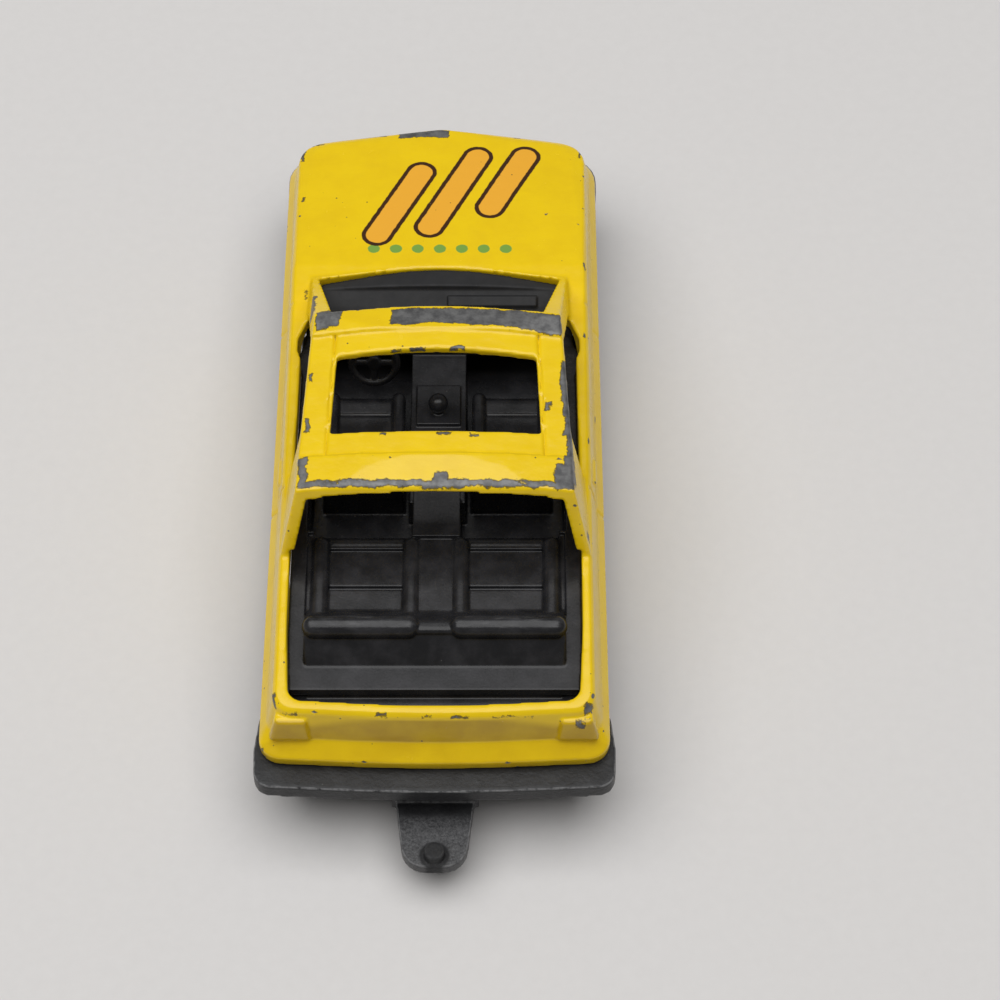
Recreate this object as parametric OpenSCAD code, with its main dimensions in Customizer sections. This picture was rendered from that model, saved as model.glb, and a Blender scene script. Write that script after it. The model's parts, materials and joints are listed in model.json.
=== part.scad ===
// Toy car, die-cast, three-inch class: open-top two-door with a targa roof and a tow tongue.
// Millimetres. +Y is the front of the car, +X its right side, +Z up.
// The origin is on the ground, under the middle of the overall length.

/* [Overall] */
// Length from the end of the tow tongue to the front of the front bumper
overall_l = 75; // [72:0.5:80]
// Width of the body at its widest line
body_w = 29.3; // [28.6:0.1:31]
// Height of the roof hoops above the ground
roof_z = 20.8; // [20:0.1:22.5]

/* [Body casting] */
// Thickness of the die-cast wall
wall = 1.1; // [0.8:0.05:1.2]
// Height of the belt line at the tail
belt_z = 13.6; // [13.2:0.1:14.2]
// Height of the hood at the windscreen
cowl_z = 14.5; // [14.2:0.1:15]
// Height of the hood at the nose
nose_z = 12; // [11.4:0.1:12.4]
// Rise of the hood's middle above its edges
hood_crown = 0.5; // [0.2:0.05:0.8]
// Height of the crease where the lower flare starts
crease_z = 10.1; // [9.8:0.1:10.4]
// Height of the widest line of the flare
flare_z = 9; // [8.8:0.1:9.3]
// Lower edge of the tail and the nose
skirt_z = 8; // [7.8:0.1:8.2]
// Lower edge of the sills
sill_z = 4.6; // [4.2:0.1:5]
// How far the flare stands out past the crease
flare_out = 0.65; // [0.4:0.05:0.9]
// How far the sides lean in from the crease to the belt
side_lean = 0.7; // [0.4:0.05:1]
// Radius of the body's rear corners
tail_r = 1.9; // [1.4:0.1:2.6]
// Radius of the body's front corners
nose_r = 3; // [2:0.1:4]

/* [Roof and windows] */
// Length of the windscreen seen from above, as a share of the car's length
screen_share = 0.123; // [0.11:0.001:0.135]
// Length of the roof to the top of the windscreen, as a share of the car's length
roof_share = 0.28; // [0.265:0.001:0.29]
// How far the roof's edges at the rear hoop lie inside the body's widest line
roof_in = 3.2; // [2.8:0.05:3.6]
// Lean of the windows towards the middle, in degrees
tumblehome = 12.5; // [11:0.5:14]
// Taper of the cabin towards the front, in degrees
cabin_taper = 3; // [2:0.1:3.5]
// How far the roof panel lies below the hoops
panel_drop = 0.3; // [0.2:0.05:0.4]
// Length of the sunroof opening at its sides, as a share of the car's length
sunroof_share = 0.117; // [0.1:0.001:0.12]
// Width of the roof rails beside the sunroof
rail_w = 2.45; // [2.2:0.05:3]
// Width of the rim around the open rear
rim = 0.95; // [0.8:0.05:1.1]

/* [Bumpers and tow tongue] */
// How far the rear bumper's ends stand out past the body's sides
bumper_side = 0.5; // [0.3:0.05:1]
// How far the rear bumper stands out behind the body
bumper_proud = 2.05; // [1.6:0.05:2.6]
// How far the front bumper stands out ahead of the nose
front_proud = 1; // [0.6:0.05:1.6]
// Thickness of the bumpers
bumper_t = 1.6; // [1.2:0.1:2]
// Length of the tow tongue behind the rear bumper
tow_reach = 5; // [4.2:0.1:6]
// Width of the tow tongue where it leaves the bumper
tow_w = 6.5; // [5.5:0.1:7.5]
// Diameter of the tow pin
tow_pin_d = 1.7; // [1.4:0.05:1.9]
// Height of the tow pin above the tongue
tow_pin_h = 1; // [0.8:0.05:1.6]

/* [Wheels and axles] */
// Distance between the axles, as a share of the car's length
wheelbase_share = 0.6071; // [0.6:0.001:0.62]
// Distance from the rear bumper to the rear axle, as a share of the car's length
rear_axle_share = 0.1957; // [0.19:0.001:0.2]
// Diameter of the wheels
wheel_d = 10.4; // [10:0.05:10.5]
// Width of the wheels
wheel_w = 4; // [3.6:0.05:4.1]
// How far the wheels' outer faces lie inside the body's widest line
wheel_inset = 1.45; // [1.3:0.05:1.8]
// Height of the flat tops of the wheel arches
arch_top = 8.75; // [8.4:0.05:8.9]
// Diameter of the axle wire
axle_d = 1.2; // [1:0.05:1.4]
// Upward travel of each axle against its spring
travel = 0.5; // [0.3:0.05:0.55]
// Gap between the axle wire and what it runs in, all round
run_gap = 0.05; // [0.03:0.01:0.08]
// Number of dimples in a wheel's disc
wheel_dimples = 6; // [5:1:8]

/* [Chassis and springs] */
// Height of the chassis plate's underside
floor_z = 2.9; // [2.6:0.05:3]
// Thickness of the chassis plate
floor_t = 1.2; // [1:0.05:1.3]
// Thickness of the leaf springs
leaf_t = 0.3; // [0.2:0.05:0.35]
// Width of the leaf springs
leaf_w = 4; // [3:0.1:5]
// Diameter of the rivet posts
post_d = 3.4; // [3:0.1:3.8]
// Gap between the casting and the plastic mouldings inside it
fit_gap = 0.2; // [0.15:0.05:0.3]

/* [Interior] */
// Thickness of the interior moulding
tub_t = 0.8; // [0.6:0.05:0.9]
// Height of the shelf round the rear seat
shelf_z = 12; // [11.9:0.05:12.3]
// Height of the rear seat's cushion
cushion_z = 11.7; // [11.65:0.05:12]
// Height of the rear seat's backrest
backrest_z = 15.1; // [14.6:0.1:15.6]
// Width of the shelf beside the rear seat
shelf_w = 1.85; // [1.7:0.05:2.2]
// Half width of the centre console
console_half = 2; // [1.6:0.1:2.2]
// Height of the front seats' backrests
front_backrest_z = 15.6; // [15:0.1:16]
// Radius of the steering wheel's ring
steering_r = 2; // [1.8:0.1:2.3]

/* [Hidden] */
$fn = 48;

paint = "gold";
plastic = [0.12, 0.12, 0.13];
steel = "silver";

// Stations along the car count from the back of the rear bumper, in seventieths of the car's length
car_l = overall_l - tow_reach;
tail_y = tow_reach - overall_l / 2;
function st(s) = tail_y + s * car_l / 70;

nose_y = overall_l / 2 - front_proud;
body_tail_y = st(bumper_proud);
half = body_w / 2;
nose_half = half - 0.25;
corner_steps = 6;
skin = 0.05;
far = 60;

// Wheels and axles
wheel_r = wheel_d / 2;
axle_r = axle_d / 2;
axle_z = wheel_r;
rear_axle_y = tail_y + rear_axle_share * car_l;
front_axle_y = rear_axle_y + wheelbase_share * car_l;
bore_r = axle_r + run_gap;
wheel_face_x = half - wheel_inset;
wheel_mid_x = wheel_face_x - wheel_w / 2;
wheel_in_x = wheel_face_x - wheel_w;
wheel_gap = 0.35;
arch_half = wheel_r + wheel_gap + 0.2;

// Belt, hood and cabin
crease_tail_y = body_tail_y + 1.3;
belt_tail_y = crease_tail_y + 0.65;
cowl_y = st(50.2);
belt_l = cowl_y - belt_tail_y;
belt_slope = atan((cowl_z - belt_z) / belt_l);
function belt_at(y) = belt_z + (y - belt_tail_y) * tan(belt_slope);
hood_l = nose_y - 0.1 - cowl_y;
hood_slope = atan((cowl_z - nose_z) / hood_l);
function hood_at(y) = cowl_z - (y - cowl_y) * tan(hood_slope);
crease_half = half - flare_out;
shoulder_half = crease_half - side_lean;
shoulder_drop = 0.35;
edge_in = 0.3;
hood_half = shoulder_half - 1.1;
hood_bevel = 0.8;

roof_half = half - roof_in;
screen_top_y = cowl_y + 0.1 - screen_share * car_l;
roof_rear_y = screen_top_y - roof_share * car_l;
screen_top_z = roof_z - 0.85;
pillar_lean = 2.85;
hoop_l = 3.3;
header_l = 3.4;
panel_rear_y = roof_rear_y + hoop_l;
panel_front_y = screen_top_y - header_l;
roof_crown_r = 90;
cabin_wall = wall - 0.1;

// Chassis
floor_top = floor_z + floor_t;
leaf_z = axle_z + axle_r + 0.02;
leaf_top = leaf_z + leaf_t;
tub_z = leaf_top + 0.03;
cheek_t = 1.2;
cheek_x = wheel_in_x - 0.3 - cheek_t;
leaf_root = 9.5;
peg_r = 0.7;
post_r = post_d / 2;
spigot_r = 1.1;
head_r = 1.9;
head_h = 0.5;
front_post_y = front_axle_y + 7;
rear_post_y = st(6.1);
bumper_top = skirt_z - 0.1;

// Points of a polygon whose corners are rounded: each corner is [x, y, radius]
function turn(a) = (a + 540) % 360 - 180;
function corner(p, q, n) =
    let (a = [p.x - q.x, p.y - q.y], b = [n.x - q.x, n.y - q.y])
    let (u = a / norm(a), v = b / norm(b), half_angle = acos(max(-1, min(1, u * v))) / 2)
    q[2] == 0 ? [[q.x, q.y]] :
    let (mid = (u + v) / norm(u + v), c = [q.x, q.y] + mid * q[2] / sin(half_angle))
    let (t = q[2] / tan(half_angle), from = [q.x, q.y] + u * t - c, to = [q.x, q.y] + v * t - c)
    let (a0 = atan2(from.y, from.x), sweep = turn(atan2(to.y, to.x) - a0))
    [for (k = [0:corner_steps]) let (a = a0 + sweep * k / corner_steps) c + q[2] * [cos(a), sin(a)]];
function rounded(c) =
    let (n = len(c))
    [for (i = [0:n - 1]) each corner(c[(i + n - 1) % n], c[i], c[(i + 1) % n])];

// Middle corner of a bowed edge: rounding takes a third of the bow away again, so the arc just reaches y
function bowed(w, y, bow, side) = [0, y + side * bow / 3, 0.375 * w * w / bow];

// Outline of the car seen from above, with bowed ends and rounded corners
function plan(tail_half, front_half, tail, front, rear_r, front_r, tail_bow, front_bow) = rounded([
    [tail_half, tail + tail_bow, rear_r], [front_half, front - front_bow, front_r],
    bowed(front_half, front, front_bow, 1), [-front_half, front - front_bow, front_r],
    [-tail_half, tail + tail_bow, rear_r], bowed(tail_half, tail, tail_bow, -1)]);

module slice(points, z) {
    translate([0, 0, z]) linear_extrude(skin) polygon(points);
}

// A side profile, given as [y, z], extruded across the car
module across(points, x0, x1) {
    translate([x0, 0, 0]) rotate([90, 0, 90]) linear_extrude(x1 - x0) polygon(points);
}

// A cross-section, given as [x, z], extruded along the car
module along(points, y0, y1) {
    translate([0, y1, 0]) rotate([90, 0, 0]) linear_extrude(y1 - y0) polygon(points);
}

// The same thing on the right and on the left
module both() {
    children();
    mirror([1, 0, 0]) children();
}

module box(low, high) {
    translate(low) cube(high - low);
}

// Body casting: outlines at the named heights, all of them moved in by d for the cavity
tail_bow = 0.55;
nose_bow = 1.75;
function crease_plan(d) = plan(crease_half - d, crease_half - 0.25 - d, crease_tail_y + d, nose_y - 0.3 - d,
    max(tail_r - d, 0.4), max(nose_r - d, 0.6), tail_bow, nose_bow);
function flare_plan(d) = plan(half - d, nose_half - d, body_tail_y + d, nose_y - d,
    max(tail_r - d, 0.4), max(nose_r - d, 0.6), tail_bow, nose_bow);
function belt_plan(w, d) = rounded([
    [w - d, tail_bow + d, max(tail_r - 0.2 - d, 0.4)], [w - d, belt_l, 0], [d - w, belt_l, 0],
    [d - w, tail_bow + d, max(tail_r - 0.2 - d, 0.4)], bowed(w - d, d, tail_bow, -1)]);
function hood_plan(w, front, d) = rounded([
    [w - d, 0, 0], [w - d, front - nose_bow - d, max(nose_r - 0.4 - d, 0.6)],
    bowed(w - d, front - d, nose_bow, 1),
    [d - w, front - nose_bow - d, max(nose_r - 0.4 - d, 0.6)], [d - w, 0, 0]]);

module upper_form(d) {
    hull() {
        slice(crease_plan(d + 0.04), crease_z - 0.5);
        slice(crease_plan(d), crease_z - skin);
        translate([0, belt_tail_y, belt_z - shoulder_drop - d]) rotate([belt_slope, 0, 0])
            slice(belt_plan(shoulder_half, d), -skin);
        translate([0, belt_tail_y + edge_in, belt_z - d]) rotate([belt_slope, 0, 0])
            slice(belt_plan(shoulder_half - edge_in, d), -skin);
        translate([0, cowl_y, cowl_z - hood_bevel - d]) rotate([-hood_slope, 0, 0])
            slice(hood_plan(shoulder_half, hood_l + 0.15, d), -skin);
        translate([0, cowl_y, cowl_z - hood_crown - d]) rotate([-hood_slope, 0, 0])
            for (share = [0.2:0.2:1])
                slice([for (p = hood_plan(hood_half, hood_l - 0.15, d)) [p.x * share, p.y]],
                    hood_crown * (1 - share * share) - skin);
    }
}

// The lower form ends just inside the upper one, so that they cross cleanly at the crease
module lower_form(d, bottom) {
    hull() {
        slice(crease_plan(d + 0.1), crease_z + 0.1);
        slice(flare_plan(d), flare_z);
        slice(flare_plan(d + 0.06), bottom);
    }
}

module sill_form() {
    intersection() {
        hull() {
            slice(flare_plan(0.1), flare_z - 0.2);
            slice(flare_plan(0.4), sill_z);
        }
        box([-far, rear_axle_y, 0], [far, front_axle_y, far]);
    }
}

// The side of the cabin is one plane that leans in and tapers; d moves it inwards
module cabin_side(d) {
    translate([roof_half, roof_rear_y + hoop_l, roof_z - 0.6]) rotate([0, -tumblehome, cabin_taper])
        box([-2 * far, -far, -far], [-d, far, far]);
}

// The cabin's side profile; its foot is sunk into the body, and the cavity also opens the rear window
function cabin_foot(d) = belt_z - (d > 0 ? 2.5 : 1.2);
function pillar_y(z) = roof_rear_y - pillar_lean * (roof_z - z) / (roof_z - belt_z);
function cabin_profile(d) = rounded([
    [pillar_y(cabin_foot(d)) - (d > 0 ? 1.2 : 0), cabin_foot(d), 0],
    [roof_rear_y - (d > 0 ? 1.2 : 0), roof_z - 0.35 - d, 0.7],
    [panel_rear_y, roof_z - d, 0],
    [panel_front_y, roof_z - d, 0],
    [screen_top_y - d / 2, screen_top_z - d, 0.5],
    [cowl_y + 0.1 - d, cowl_z - 0.2 - d / 2, 0],
    [cowl_y + 0.1 - d, cabin_foot(d), 0]]);

// The windscreen's plane is bowed, so the header and the pillars curve back towards the sides
screen_bow = 1.5;
function screen_y(z, d) = cowl_y + 0.1 - d + (screen_top_y - d / 2 - cowl_y - 0.1 + d)
    * (z - cowl_z + 0.2 + d / 2) / (screen_top_z - d - cowl_z + 0.2 + d / 2);
module screen_form(d) {
    hull() for (z = [cabin_foot(d) - 0.5, roof_z + 0.6])
        slice(rounded([[half, -far, 0], [half, screen_y(z, d) - screen_bow, 0],
            bowed(half, screen_y(z, d), screen_bow, 1), [-half, screen_y(z, d) - screen_bow, 0],
            [-half, -far, 0]]), z);
}

module roof_crown(drop) {
    translate([0, far, roof_z + 0.05 - roof_crown_r - drop]) rotate([90, 0, 0])
        cylinder(r = roof_crown_r, h = 2 * far, $fn = 96);
}

module cabin(d) {
    intersection() {
        across(cabin_profile(d), -half, half);
        screen_form(d);
        cabin_side(d);
        mirror([1, 0, 0]) cabin_side(d);
        roof_crown(d);
    }
}

// The panel round the sunroof lies a little below the header and the rear hoop
panel_bow = 0.7;
module roof_panel_recess() {
    difference() {
        translate([0, 0, roof_z - 3]) linear_extrude(far) polygon(rounded([[half, panel_rear_y, 0],
            [half, panel_front_y - panel_bow / 2, 0], bowed(half, panel_front_y + panel_bow / 2, panel_bow, 1),
            [-half, panel_front_y - panel_bow / 2, 0], [-half, panel_rear_y, 0]]));
        roof_crown(panel_drop);
    }
}

// Openings in the casting
rim_tail_y = belt_tail_y + rim;
rear_half = shoulder_half - rim + 0.1;
deck_front_y = cowl_y - 5.8;
sunroof_rear_y = panel_rear_y + 2.4;
screen_bottom_half = roof_half - 0.55;
screen_top_half = roof_half - 2.2;

// The outline of the open rear and the door tops; the shelf fills it, moved in by the gap
function rear_edge(gap) = let (w = rear_half - gap, front = deck_front_y - gap) [
    [w - 0.35, rim_tail_y + gap + tail_bow, 1.3 - gap], [w, st(12.8), 40], [w, roof_rear_y, 40],
    [w - 0.2, front - 4.4, 0.8], [w + 0.1, front - 3.4, 0.6], [w + 0.1, front - 2.2, 1.5],
    [w - 0.8, front, 0.5]];
function rear_plan(gap) =
    let (edge = rear_edge(gap), n = len(edge))
    rounded(concat(edge, [for (i = [n - 1:-1:0]) [-edge[i].x, edge[i].y, edge[i][2]]],
        [bowed(rear_half - gap, rim_tail_y + gap, tail_bow, -1)]));
module rear_opening() {
    translate([0, 0, crease_z]) linear_extrude(belt_at(deck_front_y) + 0.05 - crease_z) polygon(rear_plan(0));
}

// Under its rear edge the hoop is thinner
module hoop_relief() {
    intersection() {
        across([[roof_rear_y - 3, roof_z - 4], [roof_rear_y + 0.8, roof_z - 4], [roof_rear_y + 0.8, roof_z],
            [roof_rear_y - 3, roof_z]], 1.6 - roof_half, roof_half - 1.6);
        roof_crown(0.85);
    }
}

sunroof_half = roof_half - rail_w;
module sunroof_opening() {
    front = sunroof_rear_y + sunroof_share * car_l;
    w = sunroof_half;
    points = rounded([[w, sunroof_rear_y, 0.3], [w - 0.35, front, 0.3], bowed(w, front + 0.6, 0.6, 1),
        [0.35 - w, front, 0.3], [-w, sunroof_rear_y, 0.3]]);
    translate([0, 0, belt_z + 2]) linear_extrude(far) polygon(points);
}

// The windscreen's outline from above; the dash fills its foot, moved in by the gap
function screen_plan(gap) = rounded([
    [screen_top_half - gap, screen_top_y - 0.95, 0.2], [screen_bottom_half - gap, cowl_y - 1.5 - gap, 0.3],
    bowed(screen_bottom_half, cowl_y - 0.1 - gap, 1.4, 1), [gap - screen_bottom_half, cowl_y - 1.5 - gap, 0.3],
    [gap - screen_top_half, screen_top_y - 0.95, 0.2], bowed(screen_top_half, screen_top_y - 0.15, 0.8, 1)]);
module screen_opening() {
    translate([0, 0, belt_z - 1.5]) linear_extrude(far) polygon(screen_plan(0));
}

window_rear_y = roof_rear_y + 5.2;
window_top_z = roof_z - 1.5;
function window_profile() = rounded([
    [window_rear_y, belt_at(window_rear_y), 0.3], [deck_front_y, belt_at(deck_front_y), 0.4],
    [deck_front_y - 0.3, belt_at(deck_front_y) + 0.9, 0.8], [screen_top_y - 3.6, window_top_z, 0.8],
    [window_rear_y + 1, window_top_z, 0.8]]);

module side_windows() {
    both() across(window_profile(), roof_half - 2.6, far);
}

// Inside, the wall is thinned to clear the wheel; outside, the arch has a flat top
module wheel_arches() {
    for (y = [rear_axle_y, front_axle_y])
        both() {
            translate([wheel_in_x - 0.6, y, axle_z + travel / 2]) rotate([0, 90, 0])
                cylinder(r = wheel_r + travel / 2 + wheel_gap, h = wheel_w + 0.6 + fit_gap);
            across(rounded([[y - arch_half, 0, 0], [y + arch_half, 0, 0], [y + arch_half - 0.4, arch_top, 1.8],
                [y - arch_half + 0.4, arch_top, 1.8]]), wheel_in_x, far);
        }
}

// Engraved lines: the sunroof panel's sides and the doors' shut lines
line_w = 0.35;
line_deep = 0.25;
module panel_lines() {
    edge = panel_front_y - panel_rear_y;
    sink = roof_crown_r - sqrt(pow(roof_crown_r, 2) - pow(sunroof_half, 2));
    both() translate([sunroof_half + 0.3, panel_rear_y, roof_z - panel_drop - sink - line_deep])
        rotate([0, 0, atan(0.5 / edge)]) box([-line_w / 2, 0, 0], [line_w / 2, edge, 2]);
}

module door_line(y) {
    belt_x = shoulder_half - line_deep;
    points = [[belt_x, belt_at(y) + 1], [belt_x, belt_at(y) - shoulder_drop],
        [crease_half - line_deep, crease_z], [half - line_deep, flare_z], [half - 0.4 - line_deep, sill_z - 1],
        [half + 1, sill_z - 1], [half + 1, belt_at(y) + 1]];
    both() along(points, y - line_w / 2, y + line_w / 2);
}

// Lamps and handles are raised pads with drafted sides; a pad's outline is grown by the draft at its foot
draft = 0.2;
module pad(points, proud, foot) {
    middle = [for (axis = [0, 1]) (max([for (p = points) p[axis]]) + min([for (p = points) p[axis]])) / 2];
    hull() {
        linear_extrude(proud) polygon(points);
        translate([0, 0, -foot]) linear_extrude(foot)
            polygon([for (p = points) [p.x + draft * sign(p.x - middle.x), p.y + draft * sign(p.y - middle.y)]]);
    }
}

tail_tilt = atan((belt_tail_y - crease_tail_y) / (belt_z - crease_z));
lamp_proud = 0.35;
lamp_out = crease_half - 0.5;
module tail_lamps() {
    lamp = [[lamp_out - 3.1, 0.35], [lamp_out, 0.35], [lamp_out - 0.6, 2.5], [lamp_out - 2.8, 2.5]];
    both() translate([0, crease_tail_y + 0.35, crease_z]) rotate([90 - tail_tilt, 0, 0])
        pad(lamp, lamp_proud, 0.6);
}

module head_lamps() {
    lamp = [[2.9 - lamp_out, -0.7], [6.4 - lamp_out, -0.7], [6.4 - lamp_out, 0.7], [2.9 - lamp_out, 0.7]];
    both() translate([0, nose_y - 1.55, crease_z]) rotate([90, 0, 180]) pad(lamp, lamp_proud, 1);
}

module grille_slots() {
    for (row = [0:2])
        box([7 - lamp_out, nose_y - 0.85, crease_z - 0.85 + row * 0.65],
            [lamp_out - 7, nose_y + 1, crease_z - 0.5 + row * 0.65]);
}

module door_handles() {
    handle = [[-1.2, -0.25], [1.2, -0.25], [1.2, 0.25], [-1.2, 0.25]];
    lean = atan(side_lean / (belt_z - crease_z));
    both() translate([shoulder_half + side_lean / 3, window_rear_y + 1.8, belt_z - 1.4]) rotate([0, -lean, 0])
        rotate([90, 0, 90]) pad(handle, 0.3, 0.5);
}

// Rivet posts hang from the casting: a shoulder, a spigot through the plate and a spun head below it
module rivet_post(y, top) {
    translate([0, y, 0]) {
        translate([0, 0, floor_top]) cylinder(r = post_r, h = top - floor_top);
        translate([0, 0, floor_z + head_h]) cylinder(r = spigot_r, h = floor_t);
        translate([0, 0, floor_z + 0.05]) rotate_extrude()
            polygon([[0, 0], [head_r - 0.5, 0], [head_r, 0.25], [head_r, head_h - 0.05], [0, head_h - 0.05]]);
    }
}

module body_casting() {
    color(paint) difference() {
        union() {
            difference() {
                union() {
                    upper_form(0);
                    lower_form(0, skirt_z);
                    sill_form();
                    cabin(0);
                }
                upper_form(wall);
                lower_form(wall, sill_z - 2);
                cabin(cabin_wall);
            }
            rivet_post(front_post_y, hood_at(front_post_y) - wall / 2);
            rivet_post(rear_post_y, ledge_z - ledge_t - 0.1);
            box([-0.9, crease_tail_y + 0.7, skirt_z + 0.2], [0.9, rear_post_y, ledge_z - ledge_t - 0.1]);
            tail_lamps();
            head_lamps();
            door_handles();
        }
        rear_opening();
        hoop_relief();
        roof_panel_recess();
        sunroof_opening();
        screen_opening();
        side_windows();
        wheel_arches();
        panel_lines();
        door_line(window_rear_y - 0.7);
        door_line(screen_top_y + 4.6);
        grille_slots();
    }
}

// Chassis base: one black moulding with the plate, both bumpers, the axle cheeks and the tow tongue
plate_tail_y = tail_y + 1.2;
plate_nose_y = overall_l / 2 - 1.7;
plate_end_half = half - 2.2;
plate_mid_half = half - 0.4 - wall - fit_gap;
plate_waist_half = cheek_x + cheek_t;
bay = wheel_r + 0.6;

module plate() {
    side = [[plate_end_half, plate_tail_y, 1.5], [plate_end_half, rear_axle_y - bay, 0.6],
        [plate_waist_half, rear_axle_y - bay, 0.4], [plate_waist_half, rear_axle_y + bay, 0.4],
        [plate_mid_half, rear_axle_y + bay, 0.6], [plate_mid_half, front_axle_y - bay, 0.6],
        [plate_waist_half, front_axle_y - bay, 0.4], [plate_waist_half, front_axle_y + bay, 0.4],
        [plate_end_half, front_axle_y + bay, 0.6], [plate_end_half, plate_nose_y, 2]];
    points = rounded(concat(side, [for (i = [len(side) - 1:-1:0]) [-side[i].x, side[i].y, side[i][2]]]));
    translate([0, 0, floor_z]) linear_extrude(floor_t) polygon(points);
}

// A bumper is a flat strip that wraps round the corners, on a wall that rises from the plate
rear_bumper_end = rear_axle_y - wheel_r - 1.2;
rear_bumper_l = rear_bumper_end - tail_y;
front_bumper_l = 0.6 * (overall_l / 2 - nose_bow - front_axle_y - wheel_r);
front_bumper_end = overall_l / 2 - nose_bow - front_bumper_l;
bumper_half = half + bumper_side;
module bumper_strip(points, top, t) {
    translate([0, 0, top - t]) linear_extrude(t) polygon(points);
}

module rear_bumper() {
    inside = half - 1.5;
    side_y = tail_y + 0.55 * rear_bumper_l;
    strip = rounded([[bumper_half - 0.4, rear_bumper_end, 0.4], [bumper_half, side_y, 3],
        [bumper_half - 0.1, tail_y + 0.55, 1.5], bowed(bumper_half, tail_y, 0.55, -1),
        [0.1 - bumper_half, tail_y + 0.55, 1.5], [-bumper_half, side_y, 3],
        [0.4 - bumper_half, rear_bumper_end, 0.4], [-inside, rear_bumper_end, 0.3],
        [-inside, body_tail_y + 1.4, 1], [inside, body_tail_y + 1.4, 1], [inside, rear_bumper_end, 0.3]]);
    bumper_strip(strip, bumper_top, bumper_t);
    bumper_lip();
    wall_points = rounded([[half - 1, rear_bumper_end - 0.6, 0.3], [half - 1, plate_tail_y, 1.8],
        [1 - half, plate_tail_y, 1.8], [1 - half, rear_bumper_end - 0.6, 0.3],
        [2.2 - half, rear_bumper_end - 0.6, 0.3], [2.2 - half, plate_tail_y + 1.2, 0.6],
        [half - 2.2, plate_tail_y + 1.2, 0.6], [half - 2.2, rear_bumper_end - 0.6, 0.3]]);
    translate([0, 0, floor_z]) linear_extrude(bumper_top - floor_z) polygon(wall_points);
}

// A low bead runs along the outer edge of the rear bumper's face
module bumper_lip() {
    w = bumper_half - 2.6;
    outer = rounded([[w, tail_y + 0.7, 0.3], bowed(w, tail_y - 0.1, 0.5, -1), [-w, tail_y + 0.7, 0.3],
        [-w, tail_y + 1, 0], [w, tail_y + 1, 0]]);
    translate([0, 0, bumper_top - bumper_t]) linear_extrude(0.6) polygon(outer);
}

module front_bumper() {
    inside = half - 1.5;
    tip = overall_l / 2;
    outside = nose_half + 0.15;
    end_r = 0.7 * front_bumper_l;
    strip = rounded([[outside, front_bumper_end, 0.4], [outside, tip - nose_bow, end_r],
        bowed(outside, tip, nose_bow, 1), [-outside, tip - nose_bow, end_r], [-outside, front_bumper_end, 0.4],
        [-inside, front_bumper_end, 0.3], [-inside, tip - 4, 1], [inside, tip - 4, 1],
        [inside, front_bumper_end, 0.3]]);
    bumper_strip(strip, bumper_top, bumper_t + 0.7);
    wall_points = rounded([[half - 1.4, front_bumper_end - 0.4, 0.3], [half - 1.4, plate_nose_y - 1, 1.6],
        [1.4 - half, plate_nose_y - 1, 1.6], [1.4 - half, front_bumper_end - 0.4, 0.3],
        [2.6 - half, front_bumper_end - 0.4, 0.3], [2.6 - half, plate_nose_y - 2.2, 0.6],
        [half - 2.6, plate_nose_y - 2.2, 0.6], [half - 2.6, front_bumper_end - 0.4, 0.3]]);
    translate([0, 0, floor_z]) linear_extrude(bumper_top - floor_z) polygon(wall_points);
}

// The tow tongue carries an upright pin near its rounded end
tow_pin_y = tail_y - tow_reach + tow_pin_d / 2 + 0.2;
module tow_tongue() {
    end = tail_y - tow_reach;
    w = tow_w / 2;
    points = rounded([[w, plate_tail_y + 0.6, 0], [w, tail_y + 0.8, 3], [w - 0.7, end, 2.1],
        [0.7 - w, end, 2.1], [-w, tail_y + 0.8, 3], [-w, plate_tail_y + 0.6, 0]]);
    translate([0, 0, floor_z]) linear_extrude(floor_t) polygon(points);
    translate([0, tow_pin_y, floor_top - 0.2]) rotate_extrude()
        polygon([[0, 0], [tow_pin_d / 2, 0], [tow_pin_d / 2, tow_pin_h + 0.2 - 0.15],
            [tow_pin_d / 2 - 0.15, tow_pin_h + 0.2], [0, tow_pin_h + 0.2]]);
}

// Cheeks beside the wheels hold the axle in slots that are open at the top
cheek_l = 5.2;
cheek_top = axle_z + 2.8;
module axle_cheeks(y) {
    both() box([cheek_x, y - cheek_l / 2, floor_top - 0.3], [cheek_x + cheek_t, y + cheek_l / 2, cheek_top]);
}

module axle_slot(y) {
    translate([-far, y, axle_z]) rotate([0, 90, 0]) cylinder(r = bore_r, h = 2 * far);
    box([-far, y - bore_r, axle_z], [far, y + bore_r, far]);
}

// Each leaf spring lies on a boss and is kept in place by a peg
module leaf_seat(y) {
    translate([0, y, floor_top - 0.3]) cylinder(r = 1.8, h = leaf_z - floor_top + 0.3);
    translate([0, y, leaf_z - 0.3]) cylinder(r = peg_r, h = leaf_t + 0.3);
}

// The lower edges at the tail and the nose are cut back on a slant, except at the tow tongue
module valance_cuts() {
    rear = [[tail_y - 1, floor_z - 1], [tail_y + 5, floor_z - 1], [plate_tail_y - 0.2, floor_z + 2.2],
        [tail_y - 1, floor_z + 2.2]];
    both() across(rear, tow_w / 2 + 0.4, far);
    tip = overall_l / 2;
    front = [[tip + 1, floor_z - 1], [tip - 5, floor_z - 1], [plate_nose_y - 0.8, floor_z + 2],
        [tip + 1, floor_z + 2]];
    across(front, -far, far);
}

front_leaf_y = front_axle_y - leaf_root;
rear_leaf_y = rear_axle_y + leaf_root;
rib_x = 7;

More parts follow.
